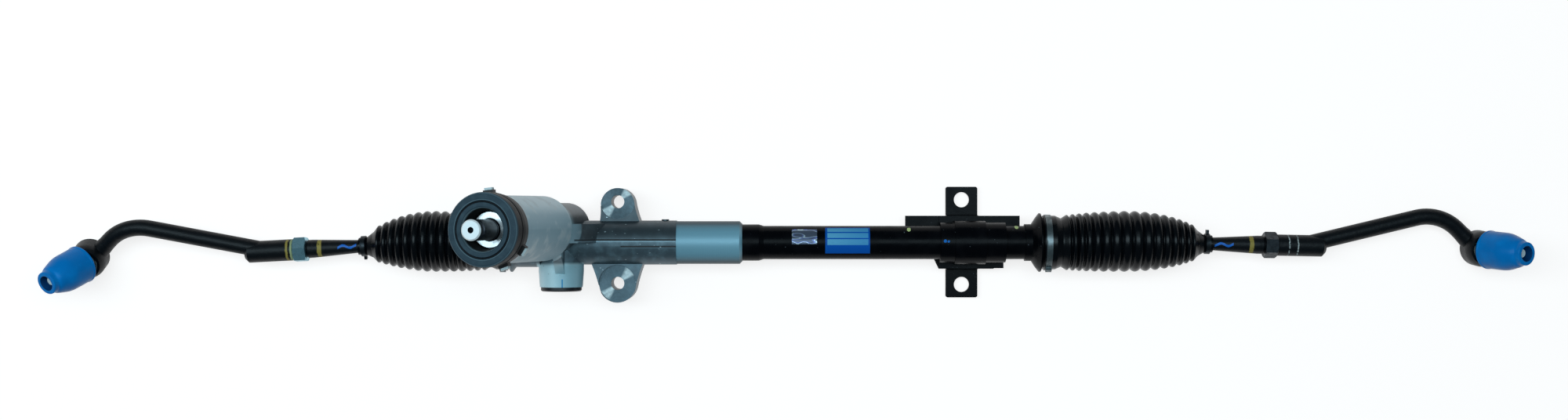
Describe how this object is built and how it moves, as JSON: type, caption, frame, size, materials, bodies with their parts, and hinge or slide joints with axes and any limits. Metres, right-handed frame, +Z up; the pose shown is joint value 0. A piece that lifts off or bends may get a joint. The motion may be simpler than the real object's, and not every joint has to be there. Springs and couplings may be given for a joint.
{
  "type": "steering rack",
  "caption": "Manual rack-and-pinion steering gear with leaning pinion tower, tube and bracket, bellows boots, tie rods and capped ball joints.",
  "frame": {"origin": "on the rack's axis, midway between the two lug holes of the gear housing", "axes": "+X along the rack from the pinion end to the tube end, +Z up from the plane that lugs and bracket stand on, the lug bolts' direction"},
  "size_m": [1.3476, 0.1059, 0.2237],
  "materials": {
    "cast_aluminium": "satin, as cast and machined",
    "black_steel": "gloss black paint",
    "bare_steel": "machined",
    "zinc_steel": "zinc plated",
    "black_rubber": "matt moulded rubber",
    "black_plastic": "moulded",
    "pale_plastic": "moulded",
    "bronze": "plain bearing",
    "blue_plastic": "soft moulded polyethylene"
  },
  "bodies": {
    "housing": {"gear_housing": "cast_aluminium", "rack_tube": "black_steel", "tube_end_cup": "black_steel", "rack_bush": "pale_plastic", "bracket_base": "black_steel", "bracket_saddle": "black_steel", "pinion_needle_bush": "bare_steel", "pinion_bearing_outer": "bare_steel", "pinion_bearing_balls": "bare_steel", "pinion_top_bush": "bronze", "pinion_oil_seal": "black_rubber", "pinion_plug": "zinc_steel", "dust_cover_retainer": "black_plastic", "dust_cover_clips": "pale_plastic", "dust_cover": "black_rubber", "support_yoke": "pale_plastic", "yoke_spring": "bare_steel", "yoke_plug": "black_plastic", "yoke_o_ring": "black_rubber", "boot_left": "black_rubber", "boot_right": "black_rubber", "boot_band_left": "zinc_steel", "boot_band_right": "zinc_steel"},
    "pinion": {"pinion_shaft": "bare_steel", "pinion_bearing_inner": "bare_steel"},
    "rack": {"rack_bar": "bare_steel", "inner_socket_left": "bare_steel", "lock_washer_left": "bare_steel", "inner_socket_right": "bare_steel", "lock_washer_right": "bare_steel"},
    "inner_seat_left": {"inner_seat_left": "pale_plastic"},
    "tie_rod_left": {"inner_tie_rod_left": "black_steel", "jam_nut_left": "zinc_steel", "boot_clip_left": "zinc_steel"},
    "rod_end_left": {"tie_rod_end_left": "black_steel", "socket_base_plate_left": "bare_steel"},
    "outer_seat_left": {"outer_seat_left": "pale_plastic"},
    "ball_stud_left": {"ball_stud_left": "bare_steel", "joint_boot_left": "black_rubber"},
    "shipping_cap_left": {"shipping_cap_left": "blue_plastic"},
    "inner_seat_right": {"inner_seat_right": "pale_plastic"},
    "tie_rod_right": {"inner_tie_rod_right": "black_steel", "jam_nut_right": "zinc_steel", "boot_clip_right": "zinc_steel"},
    "rod_end_right": {"tie_rod_end_right": "black_steel", "socket_base_plate_right": "bare_steel"},
    "outer_seat_right": {"outer_seat_right": "pale_plastic"},
    "ball_stud_right": {"ball_stud_right": "bare_steel", "joint_boot_right": "black_rubber"},
    "shipping_cap_right": {"shipping_cap_right": "blue_plastic"}
  },
  "joints": [
    {"name": "rack_slide", "type": "slide", "parent": "housing", "child": "rack", "axis": [1, 0, 0], "range_m": [-0.068, 0.068], "deforming": ["boot_left", "boot_right"]},
    {"name": "pinion_spin", "type": "hinge", "parent": "housing", "child": "pinion", "pos_m": [-0.0515, 0.0132, 0], "axis": [-0.2689, 0, 0.9632], "range_deg": [-550, 550]},
    {"name": "tie_rod_lift_left", "type": "hinge", "parent": "rack", "child": "inner_seat_left", "pos_m": [-0.169, 0, 0], "axis": [0, 1, 0], "range_deg": [-15, 15]},
    {"name": "tie_rod_swing_left", "type": "hinge", "parent": "inner_seat_left", "child": "tie_rod_left", "pos_m": [-0.169, 0, 0], "axis": [0, 0, 1], "range_deg": [-15, 15]},
    {"name": "rod_end_twist_left", "type": "hinge", "parent": "tie_rod_left", "child": "rod_end_left", "pos_m": [-0.34066, -0.009, -0.00596], "axis": [-0.998, -0.0523, -0.0346], "range_deg": [-30, 30]},
    {"name": "stud_tilt_left", "type": "hinge", "parent": "rod_end_left", "child": "outer_seat_left", "pos_m": [-0.48737, -0.01669, -0.01105], "axis": [0.0619, -0.9116, -0.4065], "range_deg": [-45, 0]},
    {"name": "stud_spin_left", "type": "hinge", "parent": "outer_seat_left", "child": "ball_stud_left", "pos_m": [-0.48737, -0.01669, -0.01105], "axis": [-0.4623, -0.3871, 0.7978], "continuous": true},
    {"name": "cap_pull_left", "type": "slide", "parent": "ball_stud_left", "child": "shipping_cap_left", "axis": [-0.4623, -0.3871, 0.7978], "range_m": [0, 0.06]},
    {"name": "tie_rod_lift_right", "type": "hinge", "parent": "rack", "child": "inner_seat_right", "pos_m": [0.475, 0, 0], "axis": [0, 1, 0], "range_deg": [-15, 15]},
    {"name": "tie_rod_swing_right", "type": "hinge", "parent": "inner_seat_right", "child": "tie_rod_right", "pos_m": [0.475, 0, 0], "axis": [0, 0, 1], "range_deg": [-15, 15]},
    {"name": "rod_end_twist_right", "type": "hinge", "parent": "tie_rod_right", "child": "rod_end_right", "pos_m": [0.64679, -0.0033, -0.00776], "axis": [0.9988, -0.0192, -0.0451], "range_deg": [-30, 30]},
    {"name": "stud_tilt_right", "type": "hinge", "parent": "rod_end_right", "child": "outer_seat_right", "pos_m": [0.79362, -0.00612, -0.01439], "axis": [0.0223, 0.9973, 0.0697], "range_deg": [-45, 0]},
    {"name": "stud_spin_right", "type": "hinge", "parent": "outer_seat_right", "child": "ball_stud_right", "pos_m": [0.79362, -0.00612, -0.01439], "axis": [0.4923, -0.0716, 0.8675], "continuous": true},
    {"name": "cap_pull_right", "type": "slide", "parent": "ball_stud_right", "child": "shipping_cap_right", "axis": [0.4923, -0.0716, 0.8675], "range_m": [0, 0.06]}
  ],
  "couplings": [
    {"joint": "pinion_spin", "follows": "rack_slide", "rad_per_m": 140.69}
  ]
}
